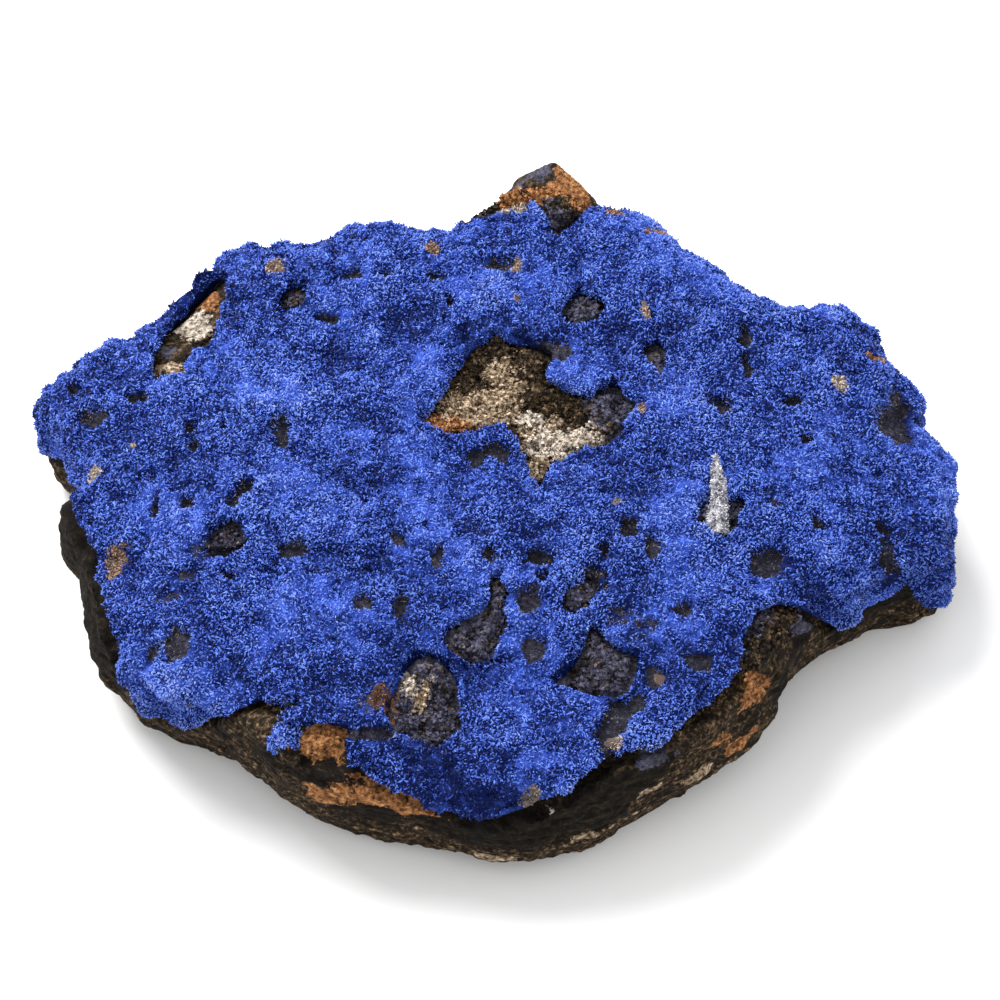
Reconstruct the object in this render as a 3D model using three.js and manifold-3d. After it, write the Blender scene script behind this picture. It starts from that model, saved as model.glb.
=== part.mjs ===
// Azurite specimen: a slab of dark iron-stained host rock with a velvety azurite crust over its upper face.
// Millimetres, +Z up. X runs along the slab, Y across it, and the rock lies on a flat cut underside at Z = 0.
import * as THREE from "three";
import { mergeVertices } from "three/addons/utils/BufferGeometryUtils.js";
import Module from "manifold-3d";

const wasm = await Module();
wasm.setup();

// ---------------------------------------------------------------- driving dimensions
const FACE_HEIGHT = 16.6; // middle of the upper face above the underside
const HALF_LENGTH = 42;
const HALF_DEPTH = 34;
const END_DROOP = 2.8; // how far the face falls towards the two ends
const FRONT_DROOP = 1.8; // how far it falls towards the front edge
const SHOULDER_WIDTH = 5; // how far in from the rim the face starts to round over
const SHOULDER_DROP = 4; // how far below the face the slab is widest
const SHOULDER_ARC = 7.1; // length of the surface round the shoulder
const FOOT_INSET = 2.6; // how far the underside is smaller than the widest line
const CRUST_THICKNESS = 1.5;
const LIP_THICKNESS = 0.7; // the crust thins to this where it ends
const SHORTEST_EDGE = 0.05; // the crust's last rings span at least this much of a section
const GAP = 0.3; // seam between crystals and rock
const BARE_DEPTH = 0.45; // uncrusted rock lies this far below the crystal surface
const LEDGE = 0.8; // the rock stays at its covered level this far past the crust's end
const STEP_RUN = 1.2; // and rises to its bare level in this distance
const LAST_PLACE = 2.95; // the lowest ring of the rock's wall, just above the underside
const DIRECTIONS = 90; // radial sections round the slab
const OUTER_RINGS = [9, 4]; // rings of the crust's outer surface over the face, and round the edge
const INNER_RINGS = [6, 3]; // the same for its underside and the rock beneath
const WALL_RINGS = 4;
const LUMP_HEIGHT = 0.3;
const LUMP_SPACING = 5.5;
const LUMP_FADE = 1 / 3; // lumps die out over this much of the wall, down to the flat underside
const WELD = 1e-4; // points nearer than this are one point

// The rim, anticlockwise from the right end: [x, y, reach of the crust].
// Reach 1 is the start of the shoulder, 2 the widest line and 3 the underside.
const RIM = [
  [42.2, 0.5, 2.5],
  [42.4, 3.4, 2.4],
  [40.8, 5.7, 2.4],
  [38.7, 7.0, 2.3],
  [39.5, 9.5, 2.3],
  [37.4, 12.6, 2.3],
  [35.2, 17.4, 2.3],
  [32.6, 18.8, 2.3],
  [28.3, 18.0, 2.3],
  [23.2, 21.8, 2.3],
  [18.3, 25.4, 2.3],
  [13.8, 29.6, 2.2],
  [11.2, 30.9, 1.9],
  [8.7, 32.1, 0.93],
  [5.7, 34.2, 0.87],
  [3.2, 33.6, 1.0],
  [0.8, 32.8, 1.12],
  [-3.0, 29.9, 1.4],
  [-4.4, 28.2, 2.0],
  [-9.3, 29.3, 2.3],
  [-13.8, 28.5, 2.3],
  [-17.0, 26.4, 2.3],
  [-21.0, 26.1, 2.3],
  [-25.4, 25.8, 2.3],
  [-28.0, 23.4, 2.3],
  [-31.2, 19.4, 2.3],
  [-34.8, 16.6, 2.3],
  [-38.8, 15.2, 2.4],
  [-41.8, 11.8, 2.4],
  [-43.1, 9.2, 2.4],
  [-40.3, 5.8, 2.3],
  [-38.8, 2.2, 2.1],
  [-38.9, -0.3, 1.75],
  [-40.0, -2.2, 1.6],
  [-38.4, -6.0, 1.55],
  [-37.7, -10.5, 1.4],
  [-36.2, -16.6, 1.45],
  [-32.2, -21.2, 2.3],
  [-28.4, -22.6, 2.3],
  [-25.4, -23.8, 2.15],
  [-22.3, -26.5, 1.4],
  [-19.8, -28.9, 1.25],
  [-17.3, -30.7, 1.6],
  [-14.4, -31.9, 1.45],
  [-10.9, -32.6, 1.6],
  [-6.2, -33.5, 1.75],
  [-2.2, -34.4, 1.88],
  [1.9, -35.1, 1.65],
  [6.3, -34.2, 1.45],
  [10.2, -32.8, 1.3],
  [15.0, -30.0, 1.35],
  [21.2, -25.2, 1.5],
  [25.6, -21.0, 1.1],
  [27.4, -16.8, 1.15],
  [30.4, -13.6, 2.15],
  [33.4, -10.9, 2.3],
  [37.2, -8.6, 2.05],
  [40.0, -8.2, 2.6],
  [41.8, -6.8, 2.6],
  [42.1, -3.5, 2.5],
];

// Broad swells and dips of the upper face: [x, y, radius, height].
const SWELLS = [
  [-14, 25, 9, 0.9],
  [-31, 5, 10, 0.7],
  [-8, -8, 14, 0.7],
  [17, 19, 9, 0.8],
  [33, 14, 6, 1.6],
  [25, 2, 9, 0.5],
  [5, 7, 8, -0.8],
  [8, -20, 7, -0.7],
  [-27, -13, 8, 0.9],
  [37, 3, 4, -0.6],
  [41, -8, 8, -1.4],
  [-38, -10, 11, -1.0],
  [0, -35, 14, -2.4],
  [5.2, 34.3, 5.2, 3.4],
];

// Windows and hollows where the crust never closed over the rock, as smooth outlines on the face.
const OPENINGS = {
  centralWindow: [
    [-7, 4.5], [-4.4, 9.2], [-0.4, 15.4], [1.4, 14.2], [5, 12.8], [4.9, 10.2], [8.6, 8.1], [10.6, 9.2],
    [12.4, 7.6], [12.8, 5.4], [9.3, 1.8], [5, -0.5], [3.5, -4], [2.2, 1], [0.8, 4.3], [-4, 2.5],
  ],
  cornerWindow: [
    [-27.4, 21.8], [-25.6, 22.4], [-25.2, 18], [-26.4, 14], [-28, 12.3], [-28.3, 9.6], [-31.1, 9],
    [-31.6, 11.6], [-30.9, 14.8], [-29.4, 18.4],
  ],
  ovalHollow: [
    [-9.4, -25.6], [-8.2, -22], [-6.2, -19.9], [-3.9, -21.6], [-3, -25.5], [-4, -28.5], [-6.5, -29],
    [-8.5, -27.5],
  ],
  keyholeHollow: [
    [-4.5, -18.2], [-3, -16.6], [-1, -15.2], [-0.8, -12.6], [1, -12], [1.3, -15.6], [-0.4, -20.2],
    [-3, -20.4],
  ],
  roundHollow: [[5.5, -14.5], [6.5, -12.5], [9, -12.2], [8.7, -15.5], [7, -17]],
  brokenHollow: [
    [8.5, -16.2], [10.6, -19.2], [12.4, -19.8], [11.5, -23.5], [8.2, -23.6], [4.9, -22.6], [7.1, -20.5],
  ],
  upperHollow: [[6, 17.2], [7.7, 19.2], [10, 18.6], [9.8, 15.7], [7.2, 15.2]],
  sideHollow: [[13.1, 11.8], [14.6, 13.6], [16.1, 11.8], [15.4, 9], [14, 9.4]],
  needleHollow: [[17.3, -6], [18.6, -4.2], [21.4, -3.6], [22.8, -5], [20.6, -8.6], [18.3, -7.8]],
  cornerPit: [[-20, 18.5], [-18.8, 20], [-17.4, 19.2], [-18, 17], [-19.6, 17]],
  leftPit: [[-25.6, -7.6], [-24.2, -6.3], [-22.7, -6.8], [-22.9, -8.6], [-24.8, -9]],
};
const SIDES_PER_POINT = 2; // an opening's wall has this many facets for each point of its outline
const CUT_DEPTH = 3.4; // openings are cut this far below the face, through the crust only
const CUT_RISE = 6; // and the cut starts this far above it

// The notch at the front, where orange-stained rock shows between two lobes of the crust.
const FRONT_NOTCH = [
  [-18.5, -27.6], [-15, -26.8], [-12.8, -27.3], [-13.4, -28.4], [-13, -30], [-15, -32.5], [-18.5, -32],
];
const NOTCH_BOTTOM = 4;

// The crystal patch that grew by itself on the rock just below the crust's front edge.
const PATCH_CENTRE = new THREE.Vector3(-18.6, -27.2, 12.4);
const PATCH_RADII = new THREE.Vector3(1.6, 1.5, 1.8);
const PATCH_SIDES = 14;

// The pale needle that lies across the crust with its foot in a hollow.
const NEEDLE_FOOT = new THREE.Vector3(20, -8, 15.75);
const NEEDLE_TIP = new THREE.Vector3(19.8, -0.2, 17.1);
const NEEDLE_RADIUS = 1;
const NEEDLE_TIP_RADIUS = 0.35;
const NEEDLE_SIDES = 7;
const NEEDLE_BANDS = 3;

// ---------------------------------------------------------------- the specimen's surface
const rimCurve = closedCurve(RIM.map(([x, y, reach]) => new THREE.Vector3(x, y, reach)));

function closedCurve(points) {
  return new THREE.CatmullRomCurve3(points, true, "catmullrom", 0.5);
}

// One radial section for each direction: where its rim lies and how far the crust reaches.
const sections = Array.from({ length: DIRECTIONS }, (_, i) => {
  const rim = rimCurve.getPoint(i / DIRECTIONS);
  const radius = Math.hypot(rim.x, rim.y);
  return {
    radius,
    outward: new THREE.Vector3(rim.x / radius, rim.y / radius, 0),
    reach: rim.z,
  };
});

// Repeatable value noise between -1 and 1.
function lattice(i, j, k) {
  const mixed = Math.sin(i * 127.1 + j * 311.7 + k * 74.7) * 43758.5453;
  return 2 * (mixed - Math.floor(mixed)) - 1;
}

function lumps(point) {
  const cell = point.clone().divideScalar(LUMP_SPACING);
  const base = cell.clone().floor();
  const part = cell.clone().sub(base);
  const ease = (t) => t * t * (3 - 2 * t);
  let sum = 0;
  for (const [dx, dy, dz] of CORNERS) {
    const wx = dx ? ease(part.x) : 1 - ease(part.x);
    const wy = dy ? ease(part.y) : 1 - ease(part.y);
    const wz = dz ? ease(part.z) : 1 - ease(part.z);
    sum += wx * wy * wz * lattice(base.x + dx, base.y + dy, base.z + dz);
  }
  return sum;
}
const CORNERS = [0, 1, 2, 3, 4, 5, 6, 7].map((n) => [n & 1, (n >> 1) & 1, (n >> 2) & 1]);

function faceHeight(x, y) {
  let height = FACE_HEIGHT - END_DROOP * Math.abs(x / HALF_LENGTH) ** 3;
  height -= FRONT_DROOP * (Math.max(-y, 0) / HALF_DEPTH) ** 2;
  for (const [cx, cy, radius, rise] of SWELLS) {
    height += rise * Math.exp(-((x - cx) ** 2 + (y - cy) ** 2) / radius ** 2);
  }
  return height;
}

// The crystal surface at one place of one section, lowered by depth.
// place runs 0 to 1 over the face, 1 to 2 round the shoulder, 2 to 3 down the wall.
function surface(section, place, depth) {
  const turn = (THREE.MathUtils.clamp(place - 1, 0, 1) * Math.PI) / 2;
  const down = Math.max(place - 2, 0);
  const inner = (section.radius - SHOULDER_WIDTH) * Math.min(place, 1);
  const radius = inner + SHOULDER_WIDTH * Math.sin(turn) - FOOT_INSET * down ** 5;
  const point = section.outward.clone().multiplyScalar(radius);
  const face = faceHeight(point.x, point.y);
  point.z = (face - SHOULDER_DROP) * (1 - down) + SHOULDER_DROP * Math.cos(turn);
  const facing = section.outward.clone().multiplyScalar(Math.sin(turn));
  facing.z = Math.cos(turn);
  const rough = LUMP_HEIGHT * lumps(point) * Math.min(1, (3 - place) / LUMP_FADE);
  return point.addScaledVector(facing, rough - depth);
}

// Where the crust ends on a section: a little past the last ring it has on the face.
function crustEnd(section) {
  return Math.max(section.reach, Math.min(1, section.reach) + SHORTEST_EDGE);
}

// The places of a section's rings, from the middle out to where the crust ends.
function ringPlaces(section, [faceRings, edgeRings]) {
  const faceEnd = Math.min(1, section.reach);
  const rest = crustEnd(section) - faceEnd;
  const places = [];
  for (let k = 1; k <= faceRings; k++) places.push((faceEnd * k) / faceRings);
  for (let k = 1; k <= edgeRings; k++) places.push(faceEnd + (rest * k) / edgeRings);
  return places;
}

// The place that lies a distance further out along a section.
function further(section, place, distance) {
  const lengths = [section.radius - SHOULDER_WIDTH, SHOULDER_ARC, FACE_HEIGHT - SHOULDER_DROP];
  let at = place;
  let left = distance;
  for (let stretch = Math.floor(place); stretch < lengths.length; stretch++) {
    const room = (stretch + 1 - at) * lengths[stretch];
    if (left <= room) return at + left / lengths[stretch];
    left -= room;
    at = stretch + 1;
  }
  return at;
}

// ---------------------------------------------------------------- mesh helpers
// A closed body from a top point, rings of equal length and a bottom point, faces outwards.
function ringBody(top, rings, bottom) {
  const count = rings[0].length;
  const points = [top, ...rings.flat(), bottom];
  const index = [];
  const at = (ring, i) => 1 + ring * count + (i % count);
  for (let i = 0; i < count; i++) index.push(0, at(0, i), at(0, i + 1));
  for (let r = 0; r + 1 < rings.length; r++) {
    for (let i = 0; i < count; i++) {
      index.push(at(r, i), at(r + 1, i), at(r + 1, i + 1));
      index.push(at(r, i), at(r + 1, i + 1), at(r, i + 1));
    }
  }
  const last = rings.length - 1;
  for (let i = 0; i < count; i++) index.push(at(last, i), points.length - 1, at(last, i + 1));
  const geometry = new THREE.BufferGeometry().setFromPoints(points);
  geometry.setIndex(index);
  return geometry;
}

function toSolid(geometry) {
  const bare = new THREE.BufferGeometry();
  bare.setAttribute("position", geometry.getAttribute("position"));
  if (geometry.index) bare.setIndex(geometry.index);
  const merged = mergeVertices(bare, WELD);
  return new wasm.Manifold(
    new wasm.Mesh({
      numProp: 3,
      vertProperties: merged.getAttribute("position").array,
      triVerts: new Uint32Array(merged.index.array),
    }),
  );
}

function toGeometry(solid) {
  const mesh = solid.getMesh();
  const geometry = new THREE.BufferGeometry();
  geometry.setAttribute("position", new THREE.BufferAttribute(new Float32Array(mesh.vertProperties), 3));
  geometry.setIndex(new THREE.BufferAttribute(new Uint32Array(mesh.triVerts), 1));
  return geometry;
}

// An upright block with a smooth closed outline, for cutting.
function cutter(outline, bottom, top) {
  const curve = closedCurve(outline.map(([x, y]) => new THREE.Vector3(x, y, 0)));
  const sides = outline.length * SIDES_PER_POINT;
  const points = curve.getPoints(sides).slice(0, sides);
  const shape = new THREE.Shape(points.map((p) => new THREE.Vector2(p.x, p.y)));
  const block = new THREE.ExtrudeGeometry(shape, { depth: top - bottom, bevelEnabled: false });
  block.translate(0, 0, bottom);
  return toSolid(block);
}

function ringsOf(rows) {
  return rows[0].map((_, r) => rows.map((row) => row[r]));
}

// ---------------------------------------------------------------- host rock
// grow swells the whole rock outwards, for cutting what grows on it.
function rockSolid(grow = 0) {
  const under = CRUST_THICKNESS + GAP - grow;
  const bare = BARE_DEPTH - grow;
  const rows = sections.map((section) => {
    const row = ringPlaces(section, INNER_RINGS).map((place) => surface(section, place, under));
    row.push(surface(section, further(section, crustEnd(section), LEDGE), under));
    const bareFrom = further(section, crustEnd(section), LEDGE + STEP_RUN);
    for (let k = 0; k < WALL_RINGS; k++) {
      const place = bareFrom + ((LAST_PLACE - bareFrom) * k) / (WALL_RINGS - 1);
      row.push(surface(section, place, bare));
    }
    const foot = surface(section, 3, bare);
    foot.z = 0;
    row.push(foot);
    return row;
  });
  const top = surface(sections[0], 0, under);
  return toSolid(ringBody(top, ringsOf(rows), new THREE.Vector3(0, 0, 0)));
}

// ---------------------------------------------------------------- azurite crust
function crustSolid() {
  const outer = sections.map((section) => {
    return ringPlaces(section, OUTER_RINGS).map((place) => surface(section, place, 0));
  });
  const inner = sections.map((section) => {
    const places = ringPlaces(section, INNER_RINGS).reverse();
    return places.map((place, k) => surface(section, place, k === 0 ? LIP_THICKNESS : CRUST_THICKNESS));
  });
  const top = surface(sections[0], 0, 0);
  const bottom = surface(sections[0], 0, CRUST_THICKNESS);
  let crust = toSolid(ringBody(top, [...ringsOf(outer), ...ringsOf(inner)], bottom));
  for (const outline of Object.values(OPENINGS)) {
    const [x, y] = outline[0];
    const face = faceHeight(x, y);
    crust = crust.subtract(cutter(outline, face - CUT_DEPTH, face + CUT_RISE));
  }
  crust = crust.subtract(cutter(FRONT_NOTCH, NOTCH_BOTTOM, FACE_HEIGHT + CUT_RISE));
  return crust.subtract(needleSolid(GAP));
}

// A rounded lump pressed against the rock's front.
function patchSolid() {
  const lump = new THREE.SphereGeometry(1, PATCH_SIDES, PATCH_SIDES / 2);
  lump.scale(PATCH_RADII.x, PATCH_RADII.y, PATCH_RADII.z);
  lump.translate(PATCH_CENTRE.x, PATCH_CENTRE.y, PATCH_CENTRE.z);
  return toSolid(lump).subtract(rockSolid(GAP));
}

// ---------------------------------------------------------------- pale needle
function needleSolid(clearance) {
  const along = NEEDLE_TIP.clone().sub(NEEDLE_FOOT);
  const length = along.length() + 2 * clearance;
  const needle = new THREE.CylinderGeometry(
    NEEDLE_TIP_RADIUS + clearance,
    NEEDLE_RADIUS + clearance,
    length,
    NEEDLE_SIDES,
    NEEDLE_BANDS,
  );
  const upright = new THREE.Vector3(0, 1, 0);
  needle.applyQuaternion(new THREE.Quaternion().setFromUnitVectors(upright, along.clone().normalize()));
  const middle = NEEDLE_FOOT.clone().add(NEEDLE_TIP).multiplyScalar(0.5);
  needle.translate(middle.x, middle.y, middle.z);
  return toSolid(needle);
}

// ---------------------------------------------------------------- assembly
const materials = {
  rock: new THREE.MeshStandardMaterial({ color: 0x3a2f28, roughness: 0.85, metalness: 0 }),
  azurite: new THREE.MeshStandardMaterial({ color: 0x2546b8, roughness: 0.6, metalness: 0 }),
  pale: new THREE.MeshStandardMaterial({ color: 0xb9bcc4, roughness: 0.6, metalness: 0 }),
};

const parts = {
  matrix_rock: [rockSolid(), materials.rock],
  azurite_crust: [crustSolid(), materials.azurite],
  azurite_patch: [patchSolid(), materials.azurite],
  pale_needle: [needleSolid(0), materials.pale],
};

const group = new THREE.Group();
const box = new THREE.Box3();
for (const [name, [solid, material]] of Object.entries(parts)) {
  const mesh = new THREE.Mesh(toGeometry(solid), material);
  mesh.name = name;
  group.add(mesh);
  box.expandByObject(mesh);
}
const centre = box.getCenter(new THREE.Vector3());
group.position.set(-centre.x, -centre.y, 0);

export default group;
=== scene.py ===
"""Azurite specimen: a slab of iron-stained host rock under a velvety crust of tiny azurite crystals.

Sizes and places are in millimetres unless a name or comment says otherwise, and MM turns them into metres.
"""

import math

import bpy
import numpy as np
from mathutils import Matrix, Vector
from mathutils.bvhtree import BVHTree


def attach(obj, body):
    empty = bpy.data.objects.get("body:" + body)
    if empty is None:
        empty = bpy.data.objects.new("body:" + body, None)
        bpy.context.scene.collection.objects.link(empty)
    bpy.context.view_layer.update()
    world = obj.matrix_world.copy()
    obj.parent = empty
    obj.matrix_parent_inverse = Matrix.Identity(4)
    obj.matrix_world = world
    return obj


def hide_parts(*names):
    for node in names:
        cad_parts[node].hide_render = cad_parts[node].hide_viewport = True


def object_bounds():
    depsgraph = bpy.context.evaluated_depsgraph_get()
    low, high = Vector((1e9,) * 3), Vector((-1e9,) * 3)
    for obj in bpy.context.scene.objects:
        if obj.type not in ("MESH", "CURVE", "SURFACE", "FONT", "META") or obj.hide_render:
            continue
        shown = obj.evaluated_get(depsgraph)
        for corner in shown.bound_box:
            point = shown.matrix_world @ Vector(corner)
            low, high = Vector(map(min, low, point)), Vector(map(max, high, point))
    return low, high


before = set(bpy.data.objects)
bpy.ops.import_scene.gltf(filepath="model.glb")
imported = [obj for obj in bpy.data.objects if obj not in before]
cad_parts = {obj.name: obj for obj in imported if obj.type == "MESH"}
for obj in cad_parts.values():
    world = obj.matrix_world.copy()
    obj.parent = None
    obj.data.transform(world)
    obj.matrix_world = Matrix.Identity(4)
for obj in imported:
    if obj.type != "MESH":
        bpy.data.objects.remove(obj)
cad_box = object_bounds()
MM = 0.001
SEED = 11

# ---------------------------------------------------------------- sizes
# Spacing of each body's fine surface.
CRUST_GRID, ROCK_GRID, PATCH_GRID, NEEDLE_GRID = 0.27, 0.26, 0.16, 0.10
HIDDEN_SHARE = 0.06  # share of faces kept where one body covers another
HIDDEN_GAP = 0.5  # bodies this close are covered, where they also face each other
HIDDEN_FACING = 0.6
UNDERSIDE = 0.1  # the flat underside lies below this height
TOP_EASE = 0.9  # height under the top where relief starts to be eased down
MOUND_MIDDLE = 0.6  # the height about which packed mounds rise and fall
PIT_WIDTH, PIT_DEPTH = 1.1, 1.3  # how far the crust falls away round each small hollow
PIT_FALL = 1.15  # how far the middle of a pit sinks
WALL_RAGGEDNESS = 0.36  # how far the crust's steep edges wander sideways

# Crystals and grains, as length, width and thickness, and the spacing of each kind.
DRUSE_BLADE, DRUSE_SPACING = (0.52, 0.18, 0.13), 0.227
PATCH_SPACING = 0.2
NEEDLE_GRAIN, NEEDLE_SPACING = (0.40, 0.15, 0.12), 0.17
ROCK_GRAIN, ROCK_GRAIN_SPACING = (0.72, 0.50, 0.34), 0.36
DRUSE_PIECES = 5
SEATS_TRIED = 4.0  # random places tried for each one kept
ROCK_GRAIN_RADIUS, ROCK_GRAIN_FLOOR = 31, 11  # the windows' ground, seen from above and from the side

# ---------------------------------------------------------------- where things lie
# Small hollows in the crust, as [x, y, half width, half depth].
PITS = [
    (3.2, -14.4, 1.0, 1.0), (3.7, -18.9, 1.2, 1.1), (18.2, -20.6, 1.3, 0.7), (24.5, -10.2, 1.6, 1.2),
    (-22.3, -2.8, 0.9, 0.8), (-23.3, -4.2, 0.7, 0.7), (-30.3, -4.4, 0.6, 1.0), (-27.5, -3.9, 0.7, 0.7),
    (-19.1, 3.3, 0.9, 1.4), (-24.2, 3.5, 0.4, 0.5), (-27.4, 4.0, 0.8, 0.6), (-27.1, 2.1, 0.6, 0.6),
    (-17.7, -9.6, 1.2, 0.6), (-23.4, -12.1, 0.6, 0.5), (-27.6, -18.5, 1.1, 1.2), (-29.9, -19.0, 0.8, 0.7),
    (-8.5, -8.4, 0.7, 0.6), (-5.0, -10.3, 0.6, 0.9), (-0.5, -10.1, 0.6, 0.7), (4.1, -10.3, 1.2, 0.6),
    (9.9, -9.3, 0.6, 0.5), (-11.5, -15.0, 0.9, 0.8), (-8.0, -15.4, 0.7, 0.9), (12.2, -7.1, 1.0, 0.9),
    (14.4, -8.9, 0.8, 1.1), (16.8, -15.2, 0.8, 0.8), (14.2, -21.7, 1.0, 0.9), (23.4, 14.1, 0.7, 0.9),
    (23.3, 10.8, 0.5, 1.3), (20.6, 6.3, 1.3, 0.8), (27.5, 7.0, 1.0, 0.7), (28.7, 2.9, 0.8, 0.5),
    (35.7, -8.0, 1.0, 0.9), (35.2, -5.4, 0.9, 0.7), (29.3, -6.2, 0.8, 0.5), (0.8, 22.6, 1.6, 0.6),
    (-12.9, 21.2, 0.9, 0.6), (-9.8, 20.9, 0.8, 0.5), (-5.4, 21.2, 0.8, 0.5), (-4.0, 18.5, 0.4, 0.5),
    (-32.8, 7.7, 1.3, 0.6), (-38.3, 10.0, 0.7, 0.6), (-36.4, 6.3, 1.3, 0.8), (-15.1, 16.2, 1.1, 0.6),
    (11.1, -25.7, 1.2, 1.5), (12.8, -24.4, 0.9, 0.9), (10.2, -27.6, 0.9, 1.6), (0.4, 1.6, 1.3, 0.9),
    (-1.6, 0.6, 0.8, 0.9), (4.6, -12.4, 0.6, 0.5), (36.9, 6.0, 1.7, 1.8), (-10.5, -27.4, 2.1, 0.6),
    (-18.6, -25.2, 1.5, 0.4), (9.0, -11.6, 1.0, 0.6), (5.5, 13.2, 1.9, 0.9), (37.6, 8.6, 1.0, 1.1),
    (-23.9, -8.6, 1.6, 1.2),
]
# Shallow bare streaks where the crystals thin out over dark rock.
THIN_PLACES = [
    (-25.6, -9.4, 1.7, 1.0), (-27.3, -11.8, 1.5, 0.9), (-28.9, -13.7, 1.4, 0.8), (9.6, -13.0, 0.9, 0.8),
    (11.6, -15.8, 1.4, 1.4), (13.5, -17.0, 1.3, 1.1), (13.0, -18.3, 0.9, 0.8), (-10.9, -24.4, 1.0, 1.3),
    (25.4, -4.2, 0.8, 0.6),
]
# Stained or pale crystals in the crust: [x, y, half width, half depth, paleness] with 0 rust and 1 pale.
SPECKS = [
    (-20.1, 22.1, 0.8, 0.9, 0.5), (-5.7, 24.1, 0.7, 0.6, 0.3), (11.6, 28.9, 0.8, 0.7, 0.1),
    (15.1, 26.9, 1.0, 0.6, 0.2), (35.0, 12.2, 1.1, 0.45, 0.0), (-33.7, -9.3, 0.9, 1.9, 0.35),
    (-36.1, 0.0, 0.5, 0.9, 0.9), (2.2, 22.3, 0.5, 0.8, 0.6), (2.2, 18.7, 0.5, 0.6, 0.5),
    (31.7, 8.9, 0.9, 0.9, 0.8), (14.2, 16.9, 0.4, 1.1, 0.6), (-32.7, 2.3, 0.3, 0.3, 1.0),
    (11.2, -4.2, 0.3, 0.35, 1.0), (13.5, 6.0, 0.5, 0.5, 0.3), (2.0, 28.6, 1.4, 0.6, 0.9),
    (3.4, -32.6, 0.9, 0.8, 0.9), (10.6, -28.2, 0.6, 0.8, 0.7), (-9.7, -23.9, 1.0, 1.3, 0.1),
    (14.6, -21.9, 0.5, 0.4, 0.4),
]
# Coloured ground in the windows and on the wall, as [x, y, z, half width, half depth, half height].
TALL = 9.0  # reaches from top to bottom of any window
CREAM = [
    (-1.0, 7.2, 14, 4.0, 2.6, TALL), (1.4, 9.8, 14, 1.9, 2.6, TALL), (4.4, 4.6, 14, 2.0, 2.0, TALL),
    (4.3, 0.2, 14, 1.3, 2.2, TALL), (-29.2, 11.4, 14, 1.9, 1.1, TALL), (-6.0, -23.4, 13, 0.8, 2.4, TALL),
    (13.9, -29.9, 7.9, 1.6, 1.6, 0.7), (17.6, -26.8, 6.4, 1.8, 1.8, 0.6), (8.6, -32.4, 4.4, 3.0, 2.0, 0.7),
    (0.6, -33.4, 3.2, 2.6, 2.0, 0.7), (12.6, -29.6, 4.0, 2.4, 2.0, 0.8),
]
CHALK = [
    (5.4, 3.0, 14, 2.2, 2.2, TALL), (7.9, 3.4, 14, 2.4, 1.5, TALL), (3.6, 5.6, 14, 1.2, 1.4, TALL),
    (-27.8, 17.0, 14, 2.2, 2.0, TALL), (-6.8, -22.4, 13, 0.7, 1.0, TALL), (3.6, -33.2, 10.6, 1.1, 1.4, 0.9),
]
RUST = [
    (-4.6, 5.4, 14, 2.6, 1.5, TALL), (-1.2, 5.0, 14, 2.4, 1.1, TALL), (3.2, -2.3, 14, 0.9, 1.5, TALL),
    (-26.6, 20.8, 14, 1.2, 1.6, TALL), (-8.6, -23.8, 13, 1.3, 1.9, TALL),
    (-14.6, -27.4, 13, 3.2, 2.4, 2.2), (-14.2, -30.6, 8.8, 2.2, 2.2, 1.8), (-10.8, -31.2, 9.8, 3.4, 2.6, 1.8),
    (-7.0, -32.4, 9.2, 2.4, 2.6, 1.6), (23.3, -21.8, 12.3, 2.0, 2.0, 2.0), (6.6, 32.4, 17, 1.3, 3.0, 3.0),
    (4.4, 30.4, 17, 3.0, 1.0, 1.6), (2.0, 30.2, 16.4, 1.4, 1.2, 1.4), (8.0, 30.0, 17, 0.9, 2.0, 2.0),
    (-36.4, -12.4, 12.6, 1.0, 1.6, 1.0), (19.8, -25.0, 9.4, 1.9, 1.9, 0.8), (21.6, -23.4, 7.4, 1.9, 1.9, 1.0),
    (-39.5, 2.0, 9, 1.6, 2.4, 1.2), (30.0, 18.0, 5, 3.4, 2.4, 1.0), (-12.0, 27.0, 4, 3.4, 2.4, 1.1),
]
DUSK = [
    (11.0, 7.0, 14, 2.3, 2.6, TALL), (-29.8, 13.8, 14, 1.6, 0.9, TALL), (3.6, 32.4, 18, 2.2, 1.4, 1.6),
    (14.0, -28.2, 12.2, 2.0, 1.4, 1.0), (28.0, -14.6, 12.4, 2.4, 1.6, 1.2),
]
CENTRAL_WINDOW = [(1.0, 6.0, 14, 9.0, 9.5, TALL)]
# Painted shade: spots where the crystals' colour is darkened, mostly on the front lobe where the crust curves
# down and under.
SHADED_CRYSTAL_SPOTS = [
    (-1.5, -32.6, 10.0, 7.0, 3.0, 3.0), (-5.5, -29.6, 12.6, 2.4, 2.0, TALL),
    (1.0, -30.0, 12.5, 2.6, 1.6, TALL), (0.9, 14.0, 15, 4.5, 2.6, TALL),
]


# ---------------------------------------------------------------- mesh tools
def only(piece):
    """Makes one object the selected and active one."""
    bpy.ops.object.select_all(action="DESELECT")
    piece.select_set(True)
    bpy.context.view_layer.objects.active = piece


def smooth(piece):
    only(piece)
    bpy.ops.object.shade_smooth()


def resurface(piece, spacing):
    """Gives a piece an even, fine surface."""
    only(piece)
    bpy.ops.object.modifier_add(type="REMESH")
    modifier = piece.modifiers[-1]
    modifier.mode = "VOXEL"
    modifier.voxel_size = spacing * MM
    bpy.ops.object.modifier_apply(modifier=modifier.name)


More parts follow.
